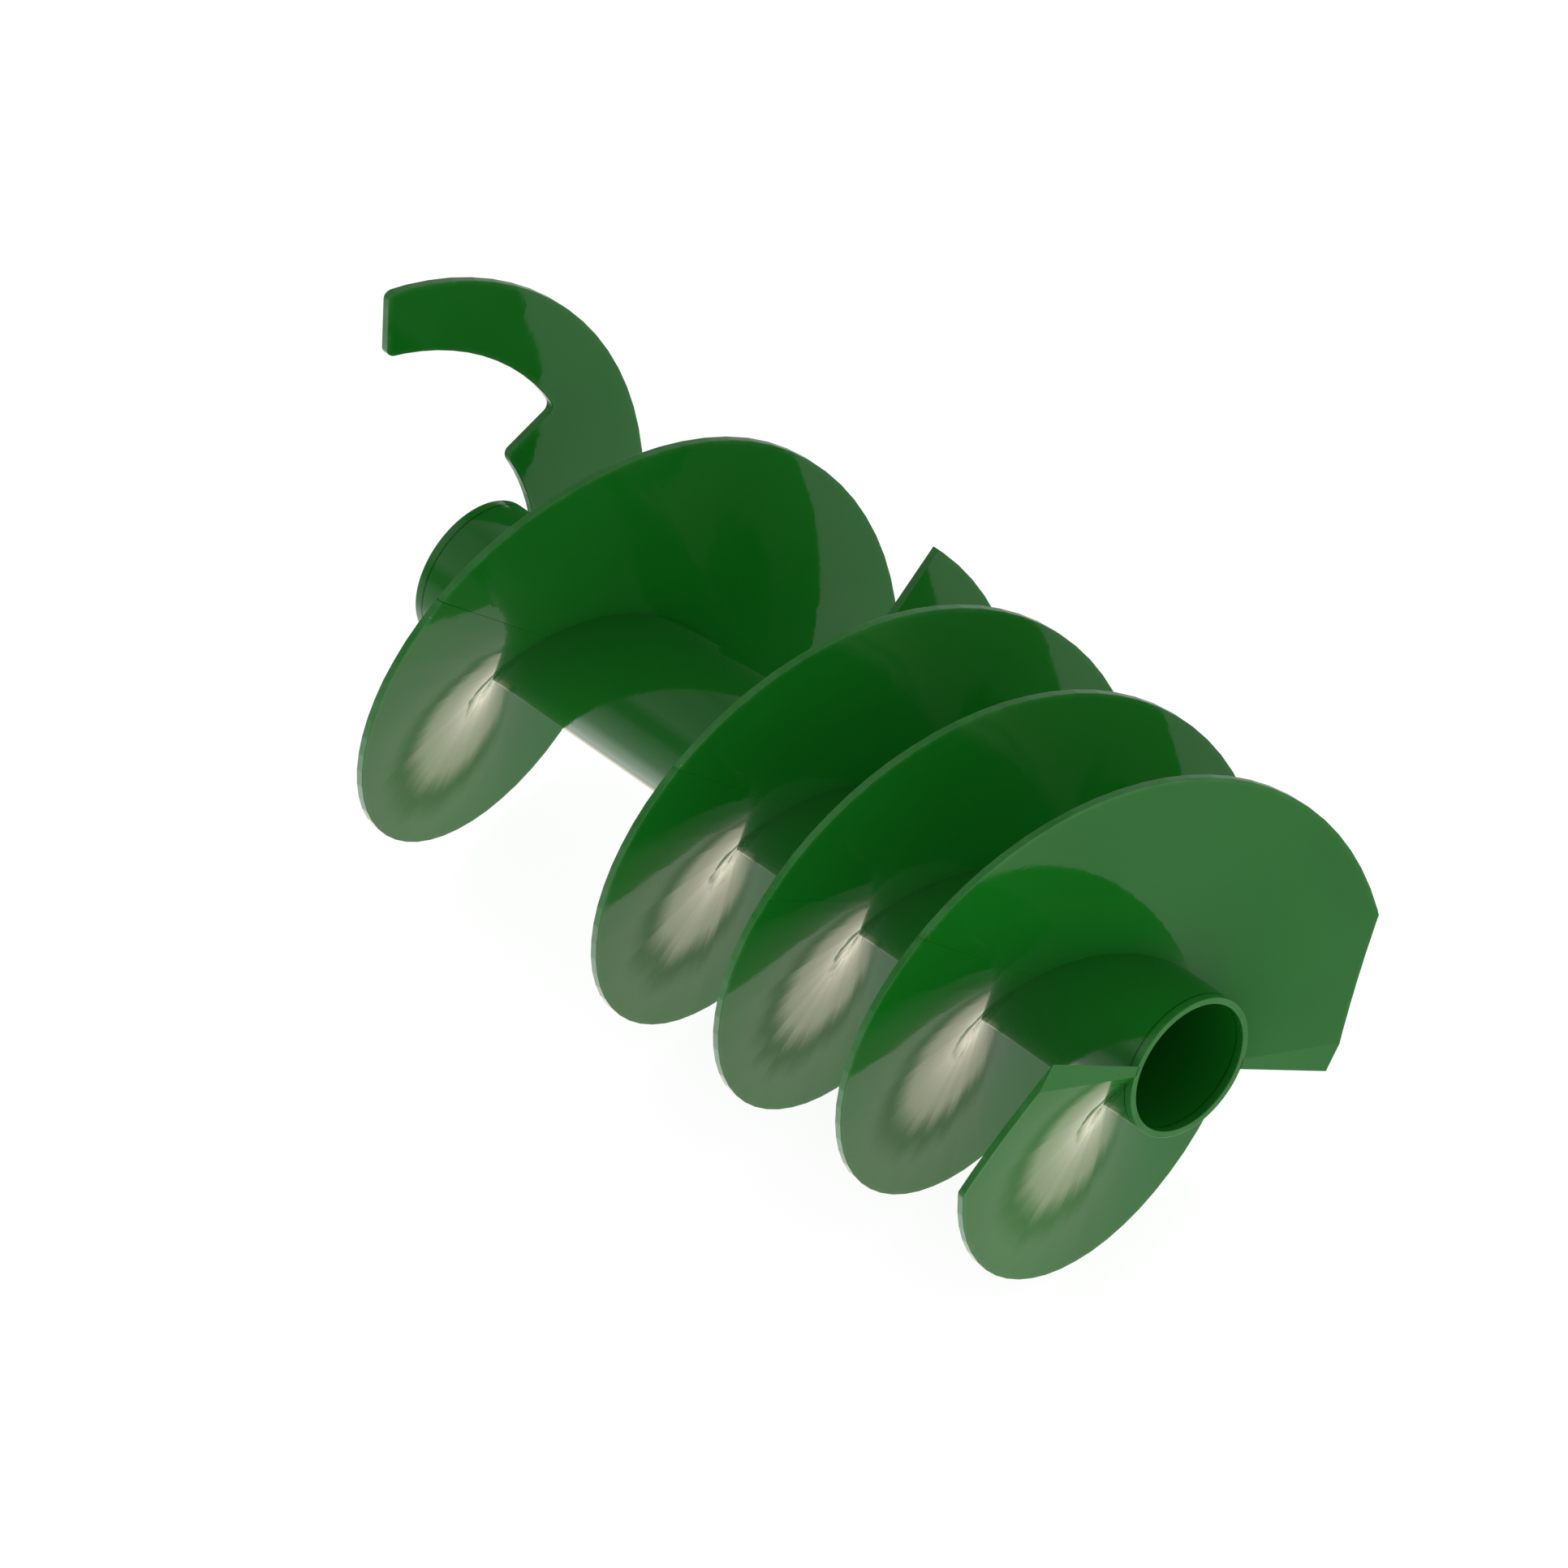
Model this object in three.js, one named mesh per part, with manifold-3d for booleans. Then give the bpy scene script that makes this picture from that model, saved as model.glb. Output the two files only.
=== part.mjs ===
// Screw auger: a steel tube carrying a left-handed double screw, welded up from
// sections of helical flighting. The main flight runs the whole length and
// leaves the far end of the tube as a free hooked arm; the second flight starts
// half way along, on the opposite side, and both are trimmed at the near end.
//
// Millimetres, +X along the tube towards its near end, +Z up. The origin is on
// the axis, midway along the whole length.
import * as THREE from "three";
import { mergeVertices } from "three/addons/utils/BufferGeometryUtils.js";
import Module from "manifold-3d";

// ---- driving dimensions ----------------------------------------------------

const TUBE_OUTER_R = 44.45; // 88.9 mm tube
const TUBE_WALL = 4;
const TUBE_LENGTH = 595;

const PITCH = 203.2; // both flights, one turn every 8 in
const PLATE = 4.76; // flighting thickness along the axis, 3/16 in
const SCREW_R = 158; // outer radius over most of the length
const GAP = 0.3; // clearance between the tube and a flight welded to it
const JOINT_GAP_ANGLE = 0.4; // the same between two sections of a flight, in degrees

// Places along a flight are in degrees of turn back from the near end plane.
// CLOCK is where a flight's mid-plane meets that plane, clockwise from +Z as
// seen from the near end.
const MAIN_CLOCK = 115.6;
const SECOND_CLOCK = MAIN_CLOCK + 180;
const MAIN_JOINTS = [164.6, 524.6, 884.6]; // butt joints, one turn apart
const SECOND_JOINT = 356.6;
const SECOND_END = 606.3;
const TAPER = { from: 795.6, to: 857.6, radius: 150 }; // the far turn is smaller

// Both flights lose their outer corner where they meet the near end plane.
const CORNER = { from: 31, to: 3.8, radius: 122, depth: 40 };

// The free arm past the tube: a wide root, a step, and a narrow curved finger.
const ROOT_ANGLE = 1057; // just clear of the tube's end
const ROOT_R = 65.6;
const STEP_ANGLE = 1128;
const FINGER_R = 105.3;
const TIP_ANGLE = 1193.6;
const FILLET = 5;

const STEP = 5; // facet size, degrees
const RINGS = 3; // facets across a flight's width

const GREEN = { color: 0x1c5a20, roughness: 0.32, metalness: 0.0 };

const overallLength = (PITCH * TIP_ANGLE) / 360 + PLATE / 2;
const nearX = overallLength / 2;
const flightInnerR = TUBE_OUTER_R + GAP;
const halfJoint = JOINT_GAP_ANGLE / 2;

// ---- solids ----------------------------------------------------------------

const wasm = await Module();
wasm.setup();

function toSolid(geometry) {
  const bare = geometry.index ? geometry.toNonIndexed() : geometry.clone();
  bare.deleteAttribute("normal");
  bare.deleteAttribute("uv");
  const merged = mergeVertices(bare, 1e-4);
  const vertProperties = new Float32Array(merged.attributes.position.array);
  const triVerts = new Uint32Array(merged.index.array);
  return new wasm.Manifold(new wasm.Mesh({ numProp: 3, vertProperties, triVerts }));
}

function toGeometry(solid) {
  const mesh = solid.getMesh();
  const geometry = new THREE.BufferGeometry();
  geometry.setAttribute("position", new THREE.BufferAttribute(mesh.vertProperties, 3));
  geometry.setIndex(new THREE.BufferAttribute(mesh.triVerts, 1));
  geometry.computeVertexNormals();
  return geometry;
}

// ---- angles and outlines -----------------------------------------------------

// A point on the plane across the axis, as (y, z).
function polar(radius, clock) {
  const angle = THREE.MathUtils.degToRad(clock);
  return new THREE.Vector2(radius * Math.sin(angle), radius * Math.cos(angle));
}

// Angles from one end to the other, with a facet edge at every multiple of STEP.
function facetAngles(from, to) {
  const sign = Math.sign(to - from);
  const angles = [from];
  const clearance = STEP / 50;
  let next = sign > 0 ? Math.ceil(from / STEP) * STEP : Math.floor(from / STEP) * STEP;
  for (; sign * (to - next) > clearance; next += sign * STEP) {
    if (sign * (next - from) > clearance) angles.push(next);
  }
  angles.push(to);
  return angles;
}

function arc(radius, from, to) {
  return facetAngles(from, to).map((clock) => polar(radius, clock));
}

// Round the corner between an arc and a radial edge, from the arc to the edge.
// The fillet's centre lies on the given side of the edge and of the arc.
function fillet(radius, clock, edgeSide, arcSide) {
  const centreR = radius + arcSide * FILLET;
  const turn = THREE.MathUtils.radToDeg(Math.asin(FILLET / centreR));
  const centre = polar(centreR, clock + edgeSide * turn);
  const onArc = polar(radius, clock + edgeSide * turn).sub(centre);
  const onEdge = polar(Math.sqrt(centreR ** 2 - FILLET ** 2), clock).sub(centre);
  const sweep = Math.atan2(onArc.cross(onEdge), onArc.dot(onEdge));
  const count = 4;
  const points = [];
  for (let i = 0; i <= count; i++) {
    const point = onArc.clone().rotateAround(new THREE.Vector2(), (sweep * i) / count);
    points.push(point.add(centre));
  }
  return points;
}

// A flat outline across the axis, pushed along the axis between two places.
function prismAlongAxis(points, fromX, toX) {
  const geometry = new THREE.ExtrudeGeometry(new THREE.Shape(points), {
    depth: toX - fromX,
    bevelEnabled: false,
  });
  const axes = new THREE.Matrix4().makeBasis(
    new THREE.Vector3(0, 1, 0),
    new THREE.Vector3(0, 0, 1),
    new THREE.Vector3(1, 0, 0),
  );
  return toSolid(geometry.applyMatrix4(axes).translate(fromX, 0, 0));
}

// ---- flights -----------------------------------------------------------------

const flightX = (turn) => nearX - (PITCH * turn) / 360;

function outerRadius(turn) {
  const along = THREE.MathUtils.clamp((turn - TAPER.from) / (TAPER.to - TAPER.from), 0, 1);
  return THREE.MathUtils.lerp(SCREW_R, TAPER.radius, along);
}

// A helical slab between two turn angles: a rectangular section of the plate,
// carried along the helix.
function helicalSlab(clock, from, to, inner, outer) {
  const turns = facetAngles(clock - from, clock - to).map((angle) => clock - angle);
  const loopSize = 2 * (RINGS + 1);
  const positions = [];
  for (const turn of turns) {
    for (let k = 0; k < loopSize; k++) {
      const nearFace = k <= RINGS;
      const ring = nearFace ? k : loopSize - 1 - k;
      const radius = THREE.MathUtils.lerp(inner, outer(turn), ring / RINGS);
      const point = polar(radius, clock - turn);
      positions.push(flightX(turn) + (nearFace ? PLATE / 2 : -PLATE / 2), point.x, point.y);
    }
  }
  const triangles = [];
  const last = (turns.length - 1) * loopSize;
  for (let i = 0; i < turns.length - 1; i++) {
    for (let k = 0; k < loopSize; k++) {
      const a = i * loopSize + k;
      const b = i * loopSize + ((k + 1) % loopSize);
      triangles.push(a, b, a + loopSize, b, b + loopSize, a + loopSize);
    }
  }
  for (let ring = 0; ring < RINGS; ring++) {
    const a = ring;
    const b = ring + 1;
    const c = loopSize - 2 - ring;
    const d = loopSize - 1 - ring;
    triangles.push(a, c, b, a, d, c);
    triangles.push(last + a, last + b, last + c, last + a, last + c, last + d);
  }
  const geometry = new THREE.BufferGeometry();
  geometry.setAttribute("position", new THREE.Float32BufferAttribute(positions, 3));
  geometry.setIndex(triangles);
  return toSolid(geometry);
}

function plainSection(clock, from, to) {
  return helicalSlab(clock, from, to, flightInnerR, outerRadius);
}

// The section at the near end: flush with the end plane, its corner cut straight.
function nearEndSection(clock, to) {
  const runOut = 12;
  const slab = plainSection(clock, -runOut, to);
  const reach = 2 * SCREW_R;
  const square = [
    new THREE.Vector2(-reach, -reach),
    new THREE.Vector2(reach, -reach),
    new THREE.Vector2(reach, reach),
    new THREE.Vector2(-reach, reach),
  ];
  const beyondEnd = prismAlongAxis(square, nearX, nearX + 2 * CORNER.depth);
  const start = polar(SCREW_R, clock - CORNER.from);
  const end = polar(CORNER.radius, clock - CORNER.to);
  const along = end.clone().sub(start).normalize();
  const outward = polar(1, clock - CORNER.from);
  const before = start.clone().addScaledVector(along, -SCREW_R / 4);
  const after = end.clone().addScaledVector(along, SCREW_R / 2);
  const corner = prismAlongAxis(
    [
      before,
      before.clone().addScaledVector(outward, SCREW_R),
      after.clone().addScaledVector(outward, SCREW_R),
      after,
    ],
    nearX - CORNER.depth,
    nearX + CORNER.depth,
  );
  return slab.subtract(beyondEnd).subtract(corner);
}

// The last section: welded to the tube for half a turn, then the free arm.
function hookSection() {
  const spare = 3;
  const slack = 8;
  const start = MAIN_CLOCK - MAIN_JOINTS[2] - halfJoint;
  const root = MAIN_CLOCK - ROOT_ANGLE;
  const step = MAIN_CLOCK - STEP_ANGLE;
  const tip = MAIN_CLOCK - TIP_ANGLE;
  const outline = [
    ...arc(TAPER.radius, start, tip + spare),
    ...fillet(TAPER.radius, tip, 1, -1),
    ...fillet(FINGER_R, tip, 1, 1).reverse(),
    ...arc(FINGER_R, tip + 2 * spare, step - 2 * spare),
    ...fillet(FINGER_R, step, -1, -1),
    ...fillet(ROOT_R, step, 1, 1).reverse(),
    ...arc(ROOT_R, step + 2 * spare, root - 2 * spare),
    ...fillet(ROOT_R, root, -1, -1),
    ...arc(flightInnerR, root, start),
  ];
  const blank = prismAlongAxis(outline, -nearX - slack, nearX);
  const slab = helicalSlab(
    MAIN_CLOCK,
    MAIN_JOINTS[2] - spare,
    TIP_ANGLE + spare,
    flightInnerR - slack,
    () => TAPER.radius + slack,
  );
  return slab.intersect(blank);
}

// ---- the assembly --------------------------------------------------------------

const auger = new THREE.Group();

function addPiece(name, geometry) {
  const mesh = new THREE.Mesh(geometry, new THREE.MeshStandardMaterial(GREEN));
  mesh.name = name;
  auger.add(mesh);
  return mesh;
}

// The tube: a square wall section turned about the axis.
function tubeGeometry() {
  const inner = TUBE_OUTER_R - TUBE_WALL;
  const wall = [
    new THREE.Vector2(inner, 0),
    new THREE.Vector2(TUBE_OUTER_R, 0),
    new THREE.Vector2(TUBE_OUTER_R, TUBE_LENGTH),
    new THREE.Vector2(inner, TUBE_LENGTH),
    new THREE.Vector2(inner, 0),
  ];
  return new THREE.LatheGeometry(wall, 360 / STEP).rotateZ(-Math.PI / 2);
}

const tube = addPiece("tube", tubeGeometry());
tube.position.x = nearX - TUBE_LENGTH;

const mainSections = [
  nearEndSection(MAIN_CLOCK, MAIN_JOINTS[0] - halfJoint),
  plainSection(MAIN_CLOCK, MAIN_JOINTS[0] + halfJoint, MAIN_JOINTS[1] - halfJoint),
  plainSection(MAIN_CLOCK, MAIN_JOINTS[1] + halfJoint, MAIN_JOINTS[2] - halfJoint),
  hookSection(),
];
const mainNames = ["main_flight_near", "main_flight_middle", "main_flight_far", "hook_flight"];
mainSections.forEach((solid, i) => addPiece(mainNames[i], toGeometry(solid)));

const secondSections = [
  nearEndSection(SECOND_CLOCK, SECOND_JOINT - halfJoint),
  plainSection(SECOND_CLOCK, SECOND_JOINT + halfJoint, SECOND_END),
];
const secondNames = ["second_flight_near", "second_flight_far"];
secondSections.forEach((solid, i) => addPiece(secondNames[i], toGeometry(solid)));

export default auger;
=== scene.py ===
"""Looks for the green screw auger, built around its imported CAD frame.

The smooth flight plates, the tube and the painted weld beads are made here in
mesh code. Metres, +X along the tube towards its near end, +Z up.
"""
import math
import random

import bmesh
import bpy
from mathutils import Matrix, Vector
from mathutils.geometry import delaunay_2d_cdt


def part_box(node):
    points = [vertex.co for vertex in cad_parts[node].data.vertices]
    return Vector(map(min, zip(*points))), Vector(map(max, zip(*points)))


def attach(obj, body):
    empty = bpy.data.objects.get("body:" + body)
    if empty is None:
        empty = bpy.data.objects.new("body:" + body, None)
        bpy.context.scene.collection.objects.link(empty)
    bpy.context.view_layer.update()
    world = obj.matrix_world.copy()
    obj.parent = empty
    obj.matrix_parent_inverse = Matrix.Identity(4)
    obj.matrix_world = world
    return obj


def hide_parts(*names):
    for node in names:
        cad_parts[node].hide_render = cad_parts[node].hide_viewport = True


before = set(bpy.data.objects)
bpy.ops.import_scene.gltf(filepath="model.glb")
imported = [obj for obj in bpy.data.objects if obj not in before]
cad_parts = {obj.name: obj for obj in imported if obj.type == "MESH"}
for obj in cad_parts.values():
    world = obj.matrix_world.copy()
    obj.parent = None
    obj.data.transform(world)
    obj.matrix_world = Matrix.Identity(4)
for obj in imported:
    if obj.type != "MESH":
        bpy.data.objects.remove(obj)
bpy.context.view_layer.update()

# ---- sizes, from the frame where it holds them --------------------------------

MM = 0.001
TUBE_LOW, TUBE_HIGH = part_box("tube")
NEAR_X = TUBE_HIGH.x
TUBE_END_X = TUBE_LOW.x
TUBE_R = TUBE_HIGH.z
TUBE_WALL = 4 * MM
SCREW_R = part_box("main_flight_middle")[1].z
FAR_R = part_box("hook_flight")[1].y
FLOOR_Z = -SCREW_R

PITCH = 203.2 * MM
PLATE = 4.76 * MM
FLIGHT_INNER_R = TUBE_R - 0.8 * MM  # sunk a little into the tube, where it is welded
HALF_TRIM = PLATE / 2 / PITCH * 360  # turn angle that half the plate covers

# Clock of each flight's mid-plane at the near end, and places along the
# flights, in degrees of turn back from the near end.
MAIN_CLOCK = 115.6
SECOND_CLOCK = MAIN_CLOCK + 180
MAIN_JOINTS = (164.6, 524.6, 884.6)
SECOND_JOINT = 356.6
SECOND_END = 606.3
HALF_JOINT = 0.02  # half the gap at a joint that is dressed flush
HALF_SEAM = 0.055  # half the gap at the seam that shows
TAPER_FROM, TAPER_TO = 795.6, 857.6

# The straight cut across the corner of each flight at the near end.
CORNER_FROM = 31.0
CORNER_TO, CORNER_R = 3.8, 122 * MM

# The free arm past the tube: a wide root, a step and a narrow finger.
ROOT_ANGLE, ROOT_R = 1057.0, 65.6 * MM
STEP_ANGLE, FINGER_R = 1128.0, 105.3 * MM
TIP_ANGLE = 1193.6
FILLET = 5 * MM

BEND_STEP = 5.4  # the flights are pressed in steps, with a slight radial bend at each
BEND_ERROR = 0.06 * MM  # how far the press left a bend off a true helix
TRUE_BENDS, ALL_BENDS = 4, 244  # the first bends, at the near end plane, are true
COLUMNS = (0, 0.08, 0.5, 0.92)  # columns of points between two bends, as shares
COLUMN_GAP = 0.2  # degrees kept clear between a column and an outline's end
LONGEST_EDGE = 8 * MM
ROW_STEP = 12 * MM
FLAT_R = 0.1  # radius at which turn is laid out to fill a face
BUCKET = 5 * MM
EDGE_ROUND = 0.35 * MM
SUPPORT = 0.6  # strip beside a rounded edge that keeps the flat faces flat, in edge radii
SQUARE_FOLD, ROUND_FOLD = 8, 50  # degrees from which square and rounded edges look sharp
# A rounded edge: how far in from the outline and down from the face, in edge radii.
EDGE_PROFILE = ((1 + SUPPORT, 0), (1, 0), (0.29, 0.29), (0, 1), (0, 1 + SUPPORT))
STRAIGHT, TIGHTEST = 0.99, -0.5  # cosines of the turn at a corner that is inset
WEAR_WIDTH = 3.5 * MM
# Paint darkened by dust and by painted shade: how far from the corners between tube and flight it
# reaches, and how much of it the tube's bore gets.
DUST_AND_SHADE_WIDTH = 12 * MM
BORE_DUST_AND_SHADE = 0.6

TUBE_SIDES, TUBE_SPANS = 144, 120
TUBE_END_STRIP = 6 * MM

WELD_LEG = 2.6 * MM
RIPPLE = 2.4 * MM  # spacing of a weld's ripples
WELD_SINK = 0.2 * MM  # how far a fillet bead reaches into the flight
WELD_SWELL = 0.16
BUTT_HALF_WIDTH, BUTT_HEIGHT = 2.4 * MM, 0.28 * MM
# Across a dressed bead: place over its half width, and rise over its height.
BUTT_PROFILE = ((-1, -0.4), (-0.7, 0.55), (-0.3, 0.95), (0.3, 0.95), (0.7, 0.55), (1, -0.4))

# ---- camera and light -------------------------------------------------------------

CAMERA_AZIMUTH, CAMERA_ELEVATION = -42.30, 39.26
CAMERA_WIDTH = 5.5536 * SCREW_R
CAMERA_LEFT, CAMERA_UP = 1.43654 * SCREW_R, 1.00558 * SCREW_R  # from the near end's centre
CAMERA_DISTANCE = 4

SKY = 0.61
FLOOR_GLOW = 0.90
FLOOR_GREY = 0.25
FLOOR_SIZE = 15
FILL_LIGHT = 136
MIRROR_LEVEL = 2.0
# Edges in the mirrored surroundings, as a direction's part along the screw.
WARM_WALL_END, BAND_FROM, BAND_TO, GREY_WALL_START = 0.02, 0.09, 0.11, 0.16
TWICE_MIRRORED_BOOST = 2.6


def x_at(turn):
    return NEAR_X - PITCH * turn / 360


press = random.Random(11)
bend_errors = [0] * TRUE_BENDS
bend_errors += [press.uniform(-BEND_ERROR, BEND_ERROR) for bend in range(ALL_BENDS - TRUE_BENDS)]


def place(clock, turn, radius, dx=0.0):
    """A point on a flight, which runs straight from one bend to the next."""
    bend = math.floor(turn / BEND_STEP)
    share = turn / BEND_STEP - bend
    errors = [bend_errors[max(number, 0)] for number in (bend, bend + 1)]
    x = x_at(turn) + errors[0] * (1 - share) + errors[1] * share + dx
    last = math.radians(clock - bend * BEND_STEP)
    following = math.radians(clock - (bend + 1) * BEND_STEP)
    y = math.sin(last) * (1 - share) + math.sin(following) * share
    z = math.cos(last) * (1 - share) + math.cos(following) * share
    return Vector((min(x, NEAR_X), radius * y, radius * z))


def outer_radius(turn):
    along = min(max((turn - TAPER_FROM) / (TAPER_TO - TAPER_FROM), 0), 1)
    along = along * along * (3 - 2 * along)
    return SCREW_R + (FAR_R - SCREW_R) * along


# ---- outlines of the plates, as (turn, radius) --------------------------------

def spread(start, end, step):
    count = max(1, math.ceil(abs(end - start) / step))
    return [start + (end - start) * i / count for i in range(count + 1)]


def columns(low, high):
    """Turn angles of the columns of points between two turn angles."""
    bends = range(math.floor(low / BEND_STEP), math.ceil(high / BEND_STEP))
    row = [(bend + share) * BEND_STEP for bend in bends for share in COLUMNS]
    return [turn for turn in row if low + COLUMN_GAP < turn < high - COLUMN_GAP]


def turns(start, end):
    low, high = sorted((start, end))
    row = [low] + columns(low, high) + [high]
    return row if start < end else row[::-1]


def arc(radius, start, end):
    return [(turn, radius) for turn in turns(start, end)]


def rim(start, end):
    return [(turn, outer_radius(turn)) for turn in turns(start, end)]


def fillet(turn, centre_radius, edge_side, angles):
    """Points round a fillet beside the radial edge at a turn angle."""
    offset = edge_side * math.degrees(math.asin(FILLET / centre_radius))
    points = []
    for angle in spread(*angles, step=15):
        out = centre_radius + FILLET * math.cos(math.radians(angle))
        along = FILLET * math.sin(math.radians(angle))
        moved = turn + offset + math.degrees(math.atan2(along, out))
        points.append((moved, math.hypot(out, along)))
    return points


def plain_outline(start, end):
    return arc(FLIGHT_INNER_R, start, end) + rim(end, start)


def from_axis(turn, radius):
    """A point in the plane across the screw."""
    return Vector((radius * math.sin(math.radians(turn)), radius * math.cos(math.radians(turn))))


def corner_radius(turn):
    """Radius of the straight corner cut at a turn angle."""
    a = from_axis(CORNER_FROM, SCREW_R)
    b = from_axis(CORNER_TO, CORNER_R)
    normal = Vector((b.y - a.y, a.x - b.x)).normalized()
    return a.dot(normal) / from_axis(turn, 1).dot(normal)


def near_outline(end, trim):
    """A section trimmed by the near end plane. trim is where one face meets it."""
    inner = [trim] + turns(HALF_TRIM, end)[1:]
    cut = turns(CORNER_FROM, HALF_TRIM)[1:-1] + [trim]
    outline = [(turn, FLIGHT_INNER_R) for turn in inner] + rim(end, CORNER_FROM)
    return outline + [(turn, corner_radius(turn)) for turn in cut]


def hook_outline(start):
    """The last section. Its arcs stop a few degrees short of the fillets at each corner."""
    outline = rim(start, TIP_ANGLE - 3)
    outline += fillet(TIP_ANGLE, FAR_R - FILLET, -1, (0, 90))
    outline += fillet(TIP_ANGLE, FINGER_R + FILLET, -1, (90, 180))
    outline += arc(FINGER_R, TIP_ANGLE - 4, STEP_ANGLE + 4)
    outline += fillet(STEP_ANGLE, FINGER_R - FILLET, 1, (0, -90))
    outline += fillet(STEP_ANGLE, ROOT_R + FILLET, -1, (90, 180))
    outline += arc(ROOT_R, STEP_ANGLE - 6, ROOT_ANGLE + 6)
    outline += fillet(ROOT_ANGLE, ROOT_R - FILLET, 1, (0, -90))
    outline += arc(FLIGHT_INNER_R, ROOT_ANGLE, start)
    return outline[::-1]


def length_of(a, b):
    return math.hypot(math.radians(b[0] - a[0]) * (a[1] + b[1]) / 2, b[1] - a[1])


def refine(outlines):
    """Split the long straight edges of both outlines alike."""
    refined = [[] for outline in outlines]
    size = len(outlines[0])
    for i in range(size):
        sides = [(outline[i], outline[(i + 1) % size]) for outline in outlines]
        longest = max(length_of(a, b) for a, b in sides)
        count = max(1, math.ceil(longest / LONGEST_EDGE))
        for points, (a, b) in zip(refined, sides):
            for j in range(count):
                points.append((a[0] + (b[0] - a[0]) * j / count, a[1] + (b[1] - a[1]) * j / count))
    return refined


# ---- plates ---------------------------------------------------------------------

def edge_rounds(outline, square_turns):
    """How far each edge is rounded: not at all where it is welded or at a joint."""
    rounds = []
    for a, b in zip(outline, outline[1:] + outline[:1]):
        square = max(a[1], b[1]) < TUBE_R or (a[0] == b[0] and a[0] in square_turns)
        rounds.append(0 if square else EDGE_ROUND)
    return rounds


def inset(outline, amounts):
    """Move an outline inwards, each edge by its own amount."""
    moved = []
    count = len(outline)
    for i, (turn, radius) in enumerate(outline):
        sides = []
        for a, b in ((outline[i - 1], (turn, radius)), ((turn, radius), outline[(i + 1) % count])):
            along = Vector((math.radians(b[0] - a[0]) * radius, b[1] - a[1]))
            sides.append(Vector((-along.y, along.x)).normalized())
        before, after = amounts[i - 1], amounts[i]
        turned = max(sides[0].dot(sides[1]), TIGHTEST)
        if turned > STRAIGHT:
            inward = (sides[0] + sides[1]) * (before + after) / 4
        else:
            inward = sides[0] * (before - turned * after) + sides[1] * (after - turned * before)
            inward = inward / (1 - turned * turned)
        moved.append((turn + math.degrees(inward.x / radius), radius + inward.y))
    return moved


def flat(turn, radius):
    """Turn and radius as a flat point, for filling a face."""
    return Vector((math.radians(turn) * FLAT_R, radius))


def distance(point, a, b):
    along = b - a
    share = min(max((point - a).dot(along) / max(along.length_squared, 1e-12), 0), 1)
    return (point - a - along * share).length


def sort_edges(ring):
    """A flat outline's edges, in buckets by the columns that they come near."""
    buckets = {}
    for a, b in zip(ring, ring[1:] + ring[:1]):
        low = math.floor((min(a.x, b.x) - WEAR_WIDTH * 2) / BUCKET)
        high = math.floor((max(a.x, b.x) + WEAR_WIDTH * 2) / BUCKET)
        for number in range(low, high + 1):
            buckets.setdefault(number, []).append((a, b))
    return buckets


def is_inside(point, buckets, margin=0.0):
    """Is a flat point inside a flat outline, and at least a margin away from it?"""
    crossings = 0
    for a, b in buckets.get(math.floor(point.x / BUCKET), ()):
        if (a.x <= point.x) != (b.x <= point.x):
            crossings += a.y + (b.y - a.y) * (point.x - a.x) / (b.x - a.x) > point.y
        if margin and distance(point, a, b) < margin:
            return False
    return crossings % 2 == 1


def inside_rows(outline, edges):
    """A regular grid of points well inside an outline."""
    across = [turn for turn, radius in outline]
    radii = [radius for turn, radius in outline]
    rows = round((max(radii) - min(radii)) / ROW_STEP)
    levels = [min(radii) + (max(radii) - min(radii)) * row / rows for row in range(1, rows)]
    grid = [(turn, radius) for turn in columns(min(across), max(across)) for radius in levels]
    return [point for point in grid if is_inside(flat(*point), edges, WEAR_WIDTH * 1.5)]


def build_plate(name, clock, outlines, square_turns):
    """A helical plate from its near and far outlines, with rounded edges."""
    bm = bmesh.new()
    edge = bm.verts.layers.float.new("edge")
    outlines = refine(outlines)
    rounds = [edge_rounds(outline, square_turns) for outline in outlines]

    def ring(outline, amounts, side, inward, down):
        drops = [min(a, b) * down for a, b in zip(amounts, amounts[-1:] + amounts[:-1])]
        moved = inset(outline, [amount * inward for amount in amounts])
        verts = []
        for (turn, radius), drop, amount in zip(moved, drops, amounts):
            vert = bm.verts.new(place(clock, turn, radius, side * (PLATE / 2 - drop)))
            vert[edge] = 1.0 if amount else 0.0
            verts.append(vert)
        return verts

    rings = [ring(outlines[0], rounds[0], 1, *step) for step in EDGE_PROFILE]
    rings += [ring(outlines[1], rounds[1], -1, *step) for step in reversed(EDGE_PROFILE)]
    for a, b in zip(rings, rings[1:]):
        for i in range(len(a)):
            j = (i + 1) % len(a)
            bm.faces.new((a[i], a[j], b[j], b[i]))
    fill_face(bm, clock, outlines[0], rings[0], rounds[0], 1)
    fill_face(bm, clock, outlines[1], rings[-1], rounds[1], -1)
    bmesh.ops.remove_doubles(bm, verts=bm.verts, dist=1e-6)
    bmesh.ops.dissolve_degenerate(bm, edges=bm.edges, dist=1e-7)
    bmesh.ops.recalc_face_normals(bm, faces=bm.faces)
    return finish_mesh(name, bm)


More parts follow.
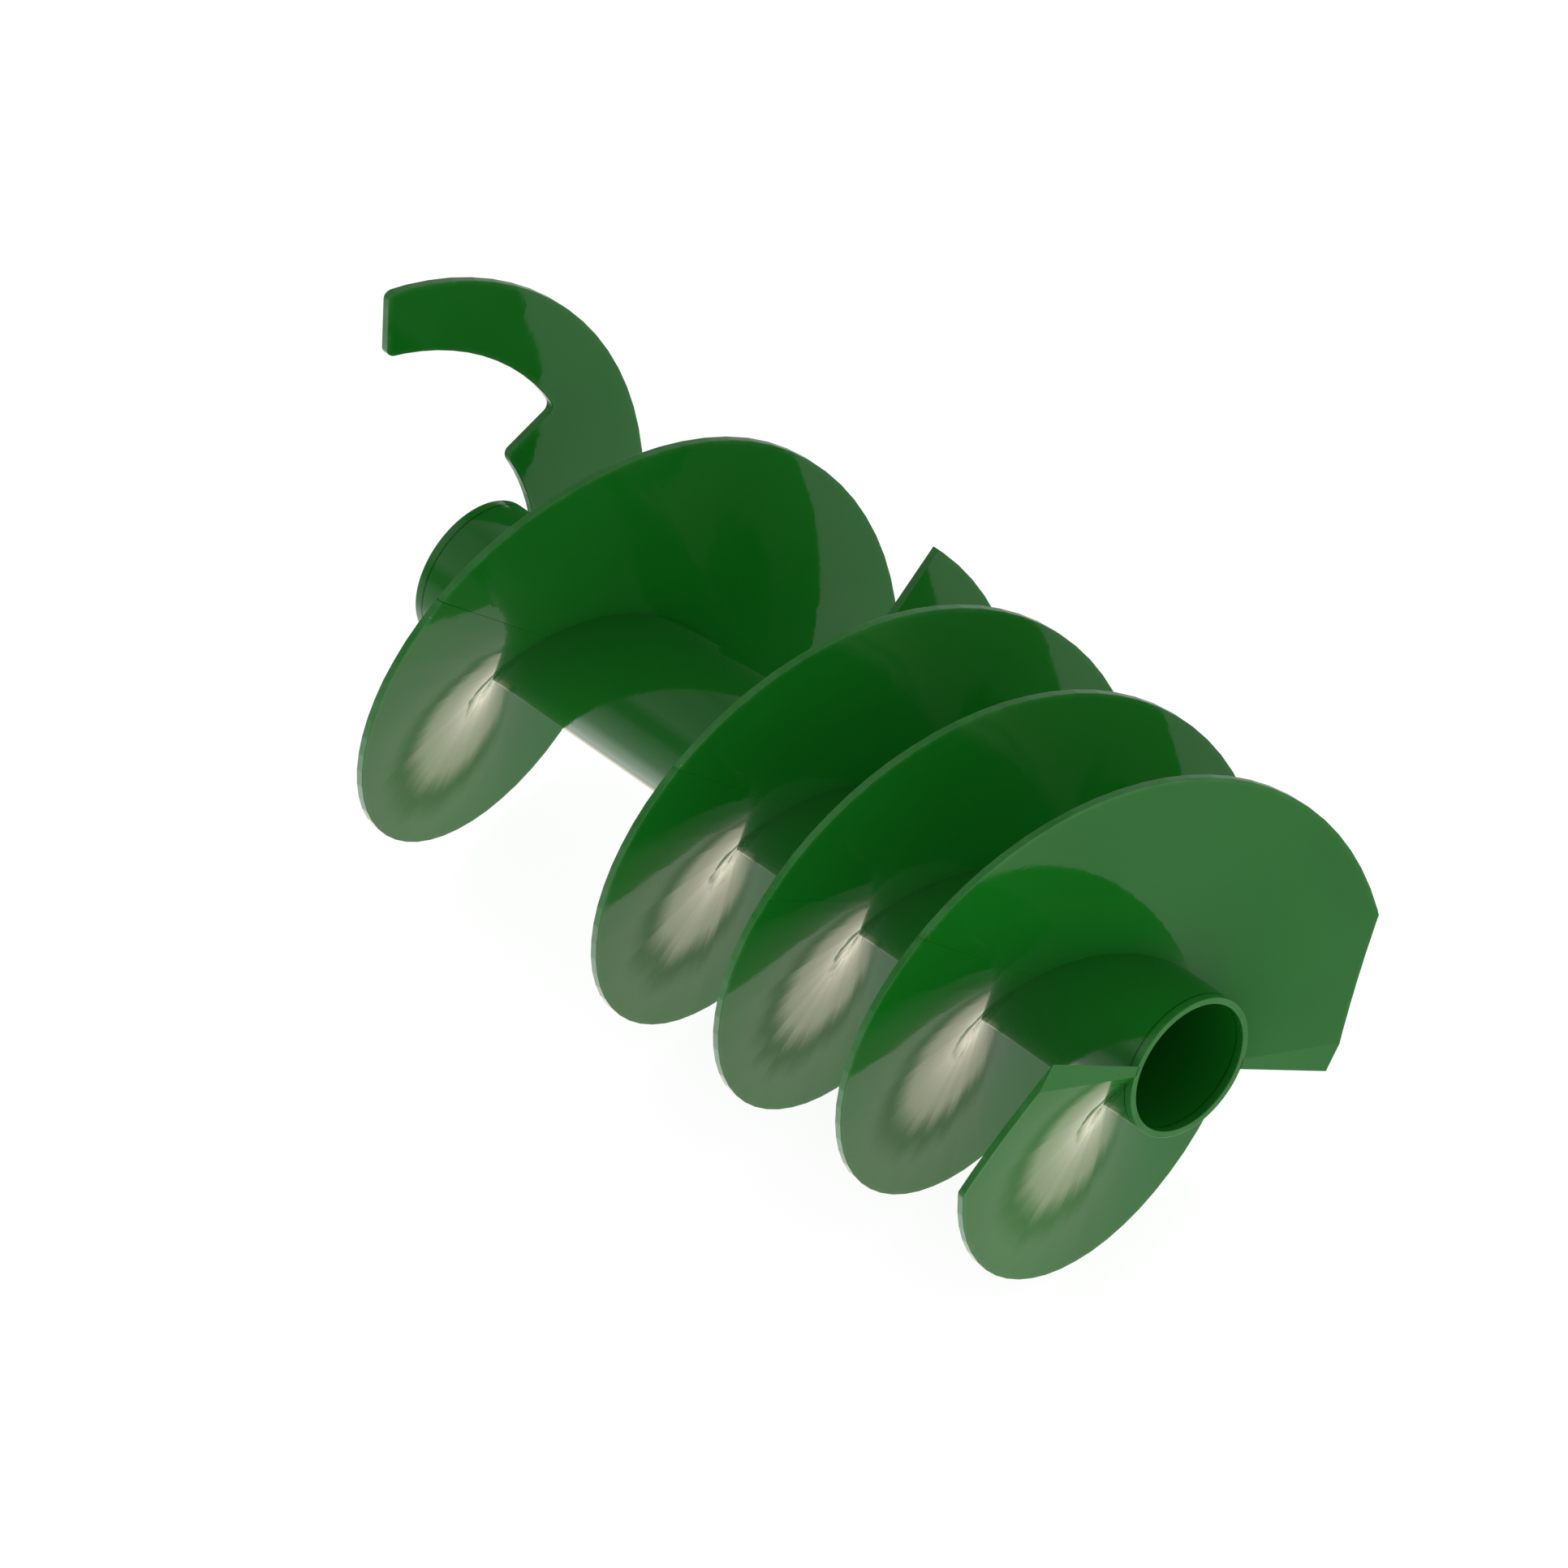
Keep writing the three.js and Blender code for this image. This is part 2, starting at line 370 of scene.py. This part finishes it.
def fill_face(bm, clock, outline, border, rounds, side):
    """Fill one face of a plate: a worn border strip, then regular rows."""
    border_points = inset(outline, [amount * EDGE_PROFILE[0][0] for amount in rounds])
    edges = sort_edges([flat(*point) for point in border_points])
    strip = inset(outline, [WEAR_WIDTH] * len(outline))
    strip = [point for point in strip if is_inside(flat(*point), edges, WEAR_WIDTH * 0.6)]
    points = border_points + strip + inside_rows(outline, edges)
    count = len(outline)
    loop = [(i, (i + 1) % count) for i in range(count)]
    filled = delaunay_2d_cdt([flat(*p) for p in points], loop, [], 0, 1e-7, True)
    verts = []
    for sources in filled[3]:
        if not sources:
            raise RuntimeError("an outline crosses itself")
        source = sources[0]
        if source < count:
            verts.append(border[source])
        else:
            verts.append(bm.verts.new(place(clock, *points[source], side * PLATE / 2)))
    for face in filled[2]:
        centre = sum((filled[0][i] for i in face), Vector((0, 0))) / len(face)
        if is_inside(centre, edges):
            bm.faces.new([verts[i] for i in face])


def near_flight(point):
    """How close a point on the tube is to a flight, from 0 to 1."""
    angle = math.degrees(math.atan2(point.y, point.z))
    closest = DUST_AND_SHADE_WIDTH
    for clock, last in ((MAIN_CLOCK, ROOT_ANGLE), (SECOND_CLOCK, SECOND_END)):
        turn = (NEAR_X - point.x) / PITCH * 360
        best = clock - angle + 360 * round((turn - clock + angle) / 360)
        if -5 < best < last:
            closest = min(closest, abs(x_at(best) - point.x))
    return 1 - closest / DUST_AND_SHADE_WIDTH


def finish_mesh(name, bm):
    """Store where the paint is darkened, by dust and by painted shade: in the corners between tube
    and flights, and in the tube's bore.
    """
    dust_and_shade = bm.verts.layers.float.get("dust_and_shade") or bm.verts.layers.float.new("dust_and_shade")
    for vert in bm.verts:
        radius = math.hypot(vert.co.y, vert.co.z)
        if radius < TUBE_R + 0.05 * MM:
            vert[dust_and_shade] = near_flight(vert.co) if radius > TUBE_R - MM else BORE_DUST_AND_SHADE
        else:
            vert[dust_and_shade] = max(0, 1 - (radius - TUBE_R) / DUST_AND_SHADE_WIDTH)
    for face in bm.faces:
        face.smooth = True
    if bm.verts.layers.float.get("edge"):
        sharpen(bm)
    mesh = bpy.data.meshes.new(name)
    bm.to_mesh(mesh)
    bm.free()
    piece = bpy.data.objects.new(name, mesh)
    bpy.context.scene.collection.objects.link(piece)
    return piece


def sharpen(bm):
    """Keep square edges crisp, and let rounded edges and slight bends shade smoothly."""
    worn = bm.verts.layers.float.get("edge")
    for line in bm.edges:
        is_square = all(vert[worn] == 0 for vert in line.verts)
        limit = SQUARE_FOLD if is_square else ROUND_FOLD
        line.smooth = line.calc_face_angle(0) < math.radians(limit)


def plain_section(name, clock, start, end):
    outline = plain_outline(start, end)
    return build_plate(name, clock, (outline, outline), (start, end))


def near_section(name, clock, end):
    outlines = near_outline(end, HALF_TRIM), near_outline(end, -HALF_TRIM)
    return build_plate(name, clock, outlines, (HALF_TRIM, -HALF_TRIM, end))


def hook_section(name, clock, start):
    outline = hook_outline(start)
    return build_plate(name, clock, (outline, outline), (start,))


# ---- tube -----------------------------------------------------------------------

def tube_end(x, inward):
    """Half of the tube's profile round one end, as (x, radius, worn)."""
    inner = TUBE_R - TUBE_WALL
    start = x + inward * TUBE_END_STRIP
    points = [(start, inner, 0)]
    for along, out in EDGE_PROFILE:
        points.append((x + inward * along * EDGE_ROUND, inner + out * EDGE_ROUND, 1))
    for along, out in reversed(EDGE_PROFILE):
        points.append((x + inward * along * EDGE_ROUND, TUBE_R - out * EDGE_ROUND, 1))
    return points + [(start, TUBE_R, 0)]


def tube_profile():
    """The closed section of the tube's wall along its length."""
    length = NEAR_X - TUBE_END_X
    stations = [TUBE_END_X + length * i / TUBE_SPANS for i in range(1, TUBE_SPANS)]
    outside = [(x, TUBE_R, 0) for x in stations]
    inside = [(x, TUBE_R - TUBE_WALL, 0) for x in reversed(stations)]
    return tube_end(TUBE_END_X, 1) + outside + tube_end(NEAR_X, -1)[::-1] + inside


def build_tube(name):
    bm = bmesh.new()
    edge = bm.verts.layers.float.new("edge")
    loop = tube_profile()
    lines = []
    for i in range(TUBE_SIDES):
        angle = 2 * math.pi * i / TUBE_SIDES
        line = []
        for x, radius, worn in loop:
            vert = bm.verts.new((x, radius * math.sin(angle), radius * math.cos(angle)))
            vert[edge] = worn
            line.append(vert)
        lines.append(line)
    for a, b in zip(lines, lines[1:] + lines[:1]):
        for i in range(len(loop)):
            j = (i + 1) % len(loop)
            bm.faces.new((a[i], a[j], b[j], b[i]))
    bmesh.ops.recalc_face_normals(bm, faces=bm.faces)
    return finish_mesh(name, bm)


# ---- welds ----------------------------------------------------------------------

def sweep(name, sections):
    """A closed bar through a list of section loops."""
    bm = bmesh.new()
    loops = [[bm.verts.new(point) for point in section] for section in sections]
    for a, b in zip(loops, loops[1:]):
        for i in range(len(a)):
            j = (i + 1) % len(a)
            bm.faces.new((a[i], a[j], b[j], b[i]))
    bm.faces.new(loops[0])
    bm.faces.new(loops[-1])
    bmesh.ops.recalc_face_normals(bm, faces=bm.faces)
    return finish_mesh(name, bm)


def ripple(along, rng):
    """Height of a weld bead along its length: one scallop after another."""
    phase = (along / RIPPLE) % 1
    return 0.93 + 0.14 * math.sqrt(max(0, 1 - (2 * phase - 1) ** 2)) + rng.uniform(-0.02, 0.02)


def fillet_weld(name, clock, start, end, side, seed):
    """The bead in the corner between the tube and one face of a flight."""
    rng = random.Random(seed)
    degree = math.hypot(math.radians(1) * TUBE_R, PITCH / 360)  # length per degree of turn
    count = round((end - start) * degree / RIPPLE * 5)
    sections = []
    for i in range(count + 1):
        turn = start + (end - start) * i / count
        along = (turn - start) * degree
        left = (end - start) * degree - along
        ends = min(1, min(along, left) / (2 * WELD_LEG) + 0.15)
        leg = WELD_LEG * ripple(along, rng) * math.sqrt(min(1, ends))
        face = side * (PLATE / 2 - WELD_SINK)
        out = TUBE_R - 0.3 * MM
        section = [(out, face), (out, face + side * (leg + WELD_SINK))]
        for share in (0.15, 0.38, 0.62, 0.85):
            swell = WELD_SWELL * math.sin(math.pi * share)
            across = WELD_SINK + leg * (1 - share + swell)
            section.append((TUBE_R + leg * (share + swell) * 0.95, face + side * across))
        section.append((TUBE_R + leg, face))
        sections.append([place(clock, turn, radius, dx) for radius, dx in section])
    return sweep(name, sections)


def butt_weld(name, clock, turn, side, seed):
    """A dressed bead along a radial joint between two sections."""
    rng = random.Random(seed)
    inner, outer = TUBE_R + WELD_LEG, outer_radius(turn) - 0.6 * MM
    count = round((outer - inner) / RIPPLE * 4)
    sections = []
    for i in range(count + 1):
        radius = inner + (outer - inner) * i / count
        lift = BUTT_HEIGHT * ripple(radius, rng)
        half = BUTT_HALF_WIDTH * rng.uniform(0.97, 1.03)
        section = []
        for share, rise in BUTT_PROFILE:
            across = math.degrees(share * half / radius)
            section.append(place(clock, turn + across, radius, side * (PLATE / 2 + lift * rise)))
        sections.append(section)
    return sweep(name, sections)


def build_welds():
    """Every bead, by name."""
    trim = (PLATE / 2 + WELD_LEG + 0.4 * MM) / PITCH * 360
    start = -HALF_TRIM * 0.6
    flights = (("main", MAIN_CLOCK, ROOT_ANGLE - trim), ("second", SECOND_CLOCK, SECOND_END - 1))
    welds = []
    for number, (flight, clock, end) in enumerate(flights):
        welds.append(fillet_weld(f"weld_{flight}", clock, start, end, -1, 20 + number))
    joints = [("main", MAIN_CLOCK, turn) for turn in MAIN_JOINTS]
    joints.append(("second", SECOND_CLOCK, SECOND_JOINT))
    for number, (flight, clock, turn) in enumerate(joints):
        welds.append(butt_weld(f"joint_weld_{flight}_{number + 1}", clock, turn, -1, 30 + number))
    return welds


# ---- the scene --------------------------------------------------------------------

def add_camera():
    azimuth, elevation = math.radians(CAMERA_AZIMUTH), math.radians(CAMERA_ELEVATION)
    level = math.cos(elevation)
    towards = Vector((math.cos(azimuth) * level, math.sin(azimuth) * level, math.sin(elevation)))
    right = Vector((-math.sin(azimuth), math.cos(azimuth), 0))
    up = towards.cross(right)
    data = bpy.data.cameras.new("camera")
    data.type = "ORTHO"
    data.ortho_scale = CAMERA_WIDTH
    data.clip_end = 50
    camera = bpy.data.objects.new("camera", data)
    target = Vector((NEAR_X, 0, 0)) - right * CAMERA_LEFT + up * CAMERA_UP
    axes = Matrix((right, up, towards)).transposed().to_4x4()
    camera.matrix_world = Matrix.Translation(target + towards * CAMERA_DISTANCE) @ axes
    bpy.context.scene.collection.objects.link(camera)
    bpy.context.scene.camera = camera


class Nodes:
    """Short calls for wiring a node tree."""

    def __init__(self, tree):
        self.tree = tree
        self.coords = None

    def add(self, kind, **settings):
        node = self.tree.nodes.new(kind)
        for key, value in settings.items():
            setattr(node, key, value)
        return node

    def link(self, source, target):
        self.tree.links.new(source, target)

    def feed(self, socket, value):
        if isinstance(value, bpy.types.NodeSocket):
            self.link(value, socket)
        else:
            socket.default_value = value

    def math(self, operation, *values):
        node = self.add("ShaderNodeMath", operation=operation)
        for socket, value in zip(node.inputs, values):
            self.feed(socket, value)
        return node.outputs[0]

    def mix(self, factor, a, b):
        node = self.add("ShaderNodeMix", data_type="RGBA")
        self.feed(node.inputs["Factor"], factor)
        self.feed(node.inputs[6], a)
        self.feed(node.inputs[7], b)
        return node.outputs[2]

    def ramp(self, value, stops, interpolation="LINEAR"):
        """stops are (position, grey or colour)."""
        node = self.add("ShaderNodeValToRGB")
        ramp = node.color_ramp
        ramp.interpolation = interpolation
        while len(ramp.elements) < len(stops):
            ramp.elements.new(0.5)
        for element, (position, colour) in zip(ramp.elements, stops):
            element.position = position
            element.color = (*(colour if isinstance(colour, tuple) else (colour,) * 3), 1)
        self.feed(node.inputs[0], value)
        return node.outputs[0]

    def noise(self, scale, detail=2.0, roughness=0.5):
        node = self.add("ShaderNodeTexNoise")
        node.inputs["Scale"].default_value = scale
        node.inputs["Detail"].default_value = detail
        node.inputs["Roughness"].default_value = roughness
        self.link(self.coordinates(), node.inputs["Vector"])
        return node.outputs[0]

    def coordinates(self):
        if self.coords is None:
            self.coords = self.add("ShaderNodeTexCoord")
        return self.coords.outputs["Object"]

    def bump(self, height, strength, distance, under=None, invert=False):
        """Relief on top of another bump's."""
        node = self.add("ShaderNodeBump", invert=invert)
        node.inputs["Strength"].default_value = strength
        node.inputs["Distance"].default_value = distance
        self.link(height, node.inputs["Height"])
        if under is not None:
            self.link(under, node.inputs["Normal"])
        return node.outputs[0]

    def attribute(self, name):
        return self.add("ShaderNodeAttribute", attribute_name=name).outputs["Fac"]


GREEN, LIGHT_GREEN = (0.0050, 0.128, 0.0085, 1), (0.0062, 0.142, 0.0105, 1)
RUBBED_GREEN = (0.055, 0.24, 0.06, 1)
# Dark colour for the dust and the painted shade in the corners and the bore.
DUST_AND_SHADE_COLOUR = (0.022, 0.040, 0.012, 1)
PRIMER = (0.18, 0.17, 0.155, 1)


def paint_material(name, wear):
    """Gloss green enamel: orange peel, rubbed edges, a little dust and painted shade in the
    corners and the bore.
    """
    material = bpy.data.materials.new(name)
    material.use_nodes = True
    n = Nodes(material.node_tree)
    shader = material.node_tree.nodes["Principled BSDF"]

    edge, dust_and_shade = n.attribute("edge"), n.attribute("dust_and_shade")
    cloud = n.noise(9, 3)
    speck = n.noise(320, 3, 0.6)
    patches = n.noise(60, 4, 0.62)

    green = n.mix(n.ramp(cloud, [(0.35, 0.0), (0.65, 1.0)]), GREEN, LIGHT_GREEN)
    thin = n.math("MULTIPLY", edge, n.ramp(patches, [(0.35, 0.25), (0.62, 1.0)]))
    rubbed = n.mix(n.math("MULTIPLY", thin, 0.30 * wear), green, RUBBED_GREEN)
    # Painted shade, with some dust: the green is darker in the corners by the tube and in the
    # tube's bore.
    patchiness = n.ramp(cloud, [(0.35, 0.2), (0.7, 0.6)])
    dust_and_shade_mask = n.math("MULTIPLY", n.math("POWER", dust_and_shade, 3.0), patchiness)
    dusted_and_shaded = n.mix(n.math("MULTIPLY", dust_and_shade_mask, 0.25), rubbed, DUST_AND_SHADE_COLOUR)
    specks = n.ramp(speck, [(0.66, 0.0), (0.68, 1.0)])
    chips = n.math("MULTIPLY", n.math("POWER", edge, 1.5), specks)
    chips = n.math("MULTIPLY", chips, n.ramp(patches, [(0.57, 0.0), (0.63, wear)]))
    n.link(n.mix(chips, dusted_and_shaded, PRIMER), shader.inputs["Base Color"])

    haze = n.ramp(n.noise(22, 5, 0.6), [(0.3, 0.03), (0.75, 0.09)])
    rough = n.math("ADD", haze, n.math("MULTIPLY", dust_and_shade_mask, 0.12))
    rough = n.math("ADD", rough, n.math("MULTIPLY", thin, 0.10))
    rough = n.math("MAXIMUM", rough, n.math("MULTIPLY", chips, 0.45))
    n.link(rough, shader.inputs["Roughness"])
    shader.inputs["IOR"].default_value = 1.5

    peel = n.bump(n.noise(420, 2, 0.5), 0.30, 0.05 * MM)
    waves = n.bump(n.noise(28, 2, 0.4), 0.35, 0.25 * MM, peel)
    chipped = n.bump(chips, 0.6, 0.12 * MM, waves, invert=True)
    n.link(chipped, shader.inputs["Normal"])
    return material


def add_floor():
    """A pale sweep, lit a little from within so that shadows stay light."""
    bm = bmesh.new()
    bmesh.ops.create_grid(bm, x_segments=1, y_segments=1, size=FLOOR_SIZE)
    mesh = bpy.data.meshes.new("floor")
    bm.to_mesh(mesh)
    bm.free()
    floor = bpy.data.objects.new("floor", mesh)
    bpy.context.scene.collection.objects.link(floor)
    floor.location.z = FLOOR_Z
    material = bpy.data.materials.new("floor")
    material.use_nodes = True
    shader = material.node_tree.nodes["Principled BSDF"]
    shader.inputs["Base Color"].default_value = (FLOOR_GREY, FLOOR_GREY, FLOOR_GREY, 1)
    shader.inputs["Roughness"].default_value = 0.9
    shader.inputs["Specular IOR Level"].default_value = 0
    shader.inputs["Emission Color"].default_value = (1, 1, 1, 1)
    shader.inputs["Emission Strength"].default_value = FLOOR_GLOW
    floor.data.materials.append(material)
    floor.visible_glossy = False


def on_axis(value):
    """A direction's part along an axis, from -1 to 1, as a place on a ramp."""
    return (value + 1) / 2


def at(degrees):
    """A heading, from -180 to 180, as a place on a ramp."""
    return (degrees + 180) / 360


def warm(level, tint=1.0):
    return (level, level * (1 - 0.11 * tint), level * (1 - 0.24 * tint))


def axis_ramp(n, part, stops, interpolation="LINEAR"):
    """A ramp over a direction's part along one axis."""
    places = [(on_axis(value), colour) for value, colour in stops]
    return n.ramp(n.math("MULTIPLY_ADD", part, 0.5, 0.5), places, interpolation)


def low_surroundings(n, x, y):
    """Below eye level: a warm wall, a dark band and a grey wall, and a cool wall opposite."""
    warm_side = axis_ramp(n, x, [
        (-1, warm(0.8, 0.2)), (-0.3, warm(0.7, 0.9)), (WARM_WALL_END, warm(0.64, 1.1)),
        (BAND_FROM, warm(0.2, 0.7)), (BAND_TO, warm(0.2, 0.7)),
        (GREY_WALL_START, warm(0.36, 0.5)), (0.5, warm(0.31, 0.3)), (1, 0.34)])
    cool_side = axis_ramp(n, x, [(-1, 0.66), (-0.45, 0.38), (0.2, 0.34)])
    return n.mix(axis_ramp(n, y, [(0.0, 0.0), (0.2, 1.0)]), cool_side, warm_side)


def middle_surroundings(n, x, y, z):
    """At eye level and above: grey by heading, and darker higher up."""
    heading = n.math("ADD", n.math("ARCTAN2", y, x), math.pi)
    heading = n.math("DIVIDE", heading, 2 * math.pi)
    middle = n.ramp(heading, [
        (at(-180), 0.20), (at(-125), 0.14), (at(-70), 0.35), (at(-10), 0.43), (at(20), 0.34),
        (at(130), 0.33), (at(165), 0.20)])
    high = n.ramp(z, [(0.0, 1.0), (0.5, 0.80), (1.0, 0.60)])
    tall = n.add("ShaderNodeMix", data_type="RGBA", blend_type="MULTIPLY")
    tall.inputs["Factor"].default_value = 1
    n.link(middle, tall.inputs[6])
    n.link(high, tall.inputs[7])
    return tall.outputs[2]


def mirrored_surroundings(n, x, y, z):
    """What the gloss paint mirrors in each direction."""
    level = axis_ramp(n, z, [(-0.70, 0.0), (-0.56, 1.0)], "EASE")
    near_side = n.mix(level, low_surroundings(n, x, y), middle_surroundings(n, x, y, z))
    far_end = axis_ramp(n, z, [
        (-0.7, 0.8), (-0.55, 0.46), (-0.1, 0.26), (0.05, 0.1), (0.25, 0.1), (0.45, 0.28),
        (0.85, 0.18)])
    is_past_end = axis_ramp(n, x, [(-0.5, 1.0), (-0.3, 0.0)])
    is_this_side = axis_ramp(n, y, [(-0.05, 1.0), (0.1, 0.0)])
    return n.mix(n.math("MULTIPLY", is_past_end, is_this_side), near_side, far_end)


def mirror_level(n, y, z, path):
    """How bright the surroundings are, which is more in a low patch that is mirrored twice."""
    twice = n.math("GREATER_THAN", path.outputs["Glossy Depth"], 1.5)
    aside = axis_ramp(n, y, [(0.5, 0.0), (0.65, 1.0)])
    below = axis_ramp(n, z, [(-0.66, 1.0), (-0.5, 0.0)])
    patch = n.math("MULTIPLY", twice, n.math("MULTIPLY", aside, below))
    return n.math("MULTIPLY_ADD", patch, TWICE_MIRRORED_BOOST, MIRROR_LEVEL)


def add_world():
    """Soft light from all round, and a studio for the paint to mirror."""
    world = bpy.data.worlds.new("studio")
    world.use_nodes = True
    n = Nodes(world.node_tree)
    background = world.node_tree.nodes["Background"]
    split = n.add("ShaderNodeSeparateXYZ")
    n.link(n.add("ShaderNodeTexCoord").outputs["Generated"], split.inputs[0])
    x, y, z = split.outputs
    path = n.add("ShaderNodeLightPath")
    scaled = n.add("ShaderNodeVectorMath", operation="SCALE")
    n.link(mirror_level(n, y, z, path), scaled.inputs["Scale"])
    n.link(mirrored_surroundings(n, x, y, z), scaled.inputs[0])
    soft = n.mix(path.outputs["Is Glossy Ray"], (SKY, SKY, SKY, 1), scaled.outputs[0])
    seen = n.mix(path.outputs["Is Camera Ray"], soft, (1, 1, 1, 1))
    n.link(seen, background.inputs["Color"])
    background.inputs["Strength"].default_value = 1.0
    bpy.context.scene.world = world


def add_panel(name, place_at, size, energy):
    """A large soft light, turned towards the screw, that only fills in."""
    data = bpy.data.lights.new(name, "AREA")
    data.shape = "RECTANGLE"
    data.size, data.size_y = size
    data.energy = energy
    data.use_shadow = False
    panel = bpy.data.objects.new(name, data)
    panel.location = place_at
    panel.rotation_euler = (-Vector(place_at)).to_track_quat("-Z", "Y").to_euler()
    panel.visible_glossy = False
    panel.visible_camera = False
    bpy.context.scene.collection.objects.link(panel)


add_camera()
add_world()
add_floor()
add_panel("fill_panel", (8.2, -0.8, 1.6), (6.5, 6.5), FILL_LIGHT)

plate_paint = paint_material("green_paint", 1.0)
weld_paint = paint_material("green_paint_on_weld", 0.4)
pieces = {
    "tube": build_tube("painted_tube"),
    "main_flight_near": near_section(
        "painted_main_near", MAIN_CLOCK, MAIN_JOINTS[0] - HALF_JOINT),
    "main_flight_middle": plain_section(
        "painted_main_middle", MAIN_CLOCK,
        MAIN_JOINTS[0] + HALF_JOINT, MAIN_JOINTS[1] - HALF_JOINT),
    "main_flight_far": plain_section(
        "painted_main_far", MAIN_CLOCK, MAIN_JOINTS[1] + HALF_JOINT, MAIN_JOINTS[2] - HALF_SEAM),
    "hook_flight": hook_section("painted_hook", MAIN_CLOCK, MAIN_JOINTS[2] + HALF_SEAM),
    "second_flight_near": near_section(
        "painted_second_near", SECOND_CLOCK, SECOND_JOINT - HALF_JOINT),
    "second_flight_far": plain_section(
        "painted_second_far", SECOND_CLOCK, SECOND_JOINT + HALF_JOINT, SECOND_END),
}
for node, piece in pieces.items():
    piece.data.materials.append(plate_paint)
    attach(piece, "root")
    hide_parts(node)
for weld in build_welds():
    weld.data.materials.append(weld_paint)
    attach(weld, "root")

bpy.context.scene.view_settings.view_transform = "Standard"
